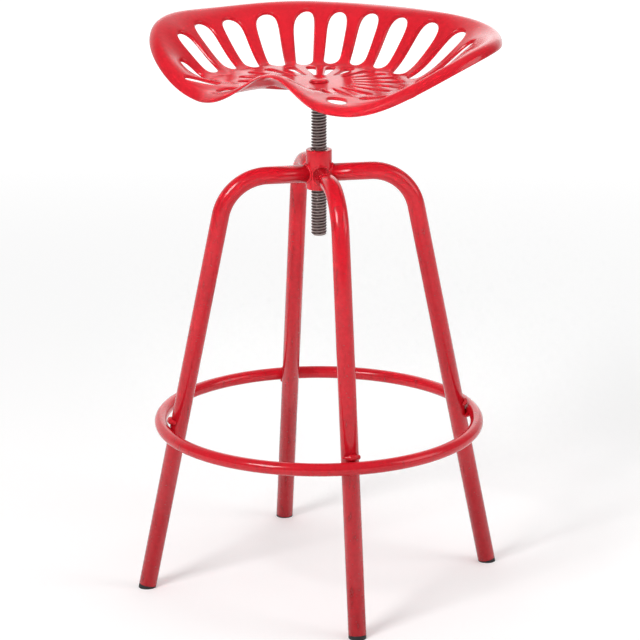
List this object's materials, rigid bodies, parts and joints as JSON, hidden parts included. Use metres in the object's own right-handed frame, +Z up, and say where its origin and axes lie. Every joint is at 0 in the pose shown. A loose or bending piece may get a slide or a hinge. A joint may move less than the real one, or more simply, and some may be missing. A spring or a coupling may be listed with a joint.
{
  "type": "stool",
  "caption": "Height-adjustable stool with a perforated saddle-shaped seat on a threaded post, bent tube legs and a round footrest.",
  "frame": {"origin": "on the floor, under the axis of the threaded post", "axes": "+Z up along the post; the legs stand along +X, -X, +Y and -Y"},
  "size_m": [0.4658, 0.4658, 0.707],
  "materials": {
    "red_paint": "glossy, slightly worn",
    "dark_steel": "blackened, satin",
    "black_plastic": "matte"
  },
  "bodies": {
    "frame": {"hub": "red_paint", "footrest_ring": "red_paint", "leg_right": "red_paint", "leg_back": "red_paint", "leg_left": "red_paint", "leg_front": "red_paint", "hub_weld_right": "red_paint", "hub_weld_back": "red_paint", "hub_weld_left": "red_paint", "hub_weld_front": "red_paint", "ring_weld_right": "red_paint", "ring_weld_back": "red_paint", "ring_weld_left": "red_paint", "ring_weld_front": "red_paint", "foot_plug_right": "black_plastic", "foot_plug_back": "black_plastic", "foot_plug_left": "black_plastic", "foot_plug_front": "black_plastic"},
    "lift": {"thrust_collar": "dark_steel"},
    "seat": {"screw": "dark_steel", "seat_plate": "red_paint", "seat": "red_paint", "seat_washer": "red_paint", "seat_bolt": "red_paint"}
  },
  "joints": [
    {"name": "seat_lift", "type": "slide", "parent": "frame", "child": "lift", "axis": [0, 0, 1], "range_m": [-0.0629, 0.0555]},
    {"name": "seat_spin", "type": "hinge", "parent": "lift", "child": "seat", "pos_m": [0, 0, 0.6], "axis": [0, 0, 1], "range_deg": [-6120, 5400]}
  ],
  "couplings": [
    {"joint": "seat_lift", "follows": "seat_spin", "m_per_rad": 0.00058887}
  ]
}
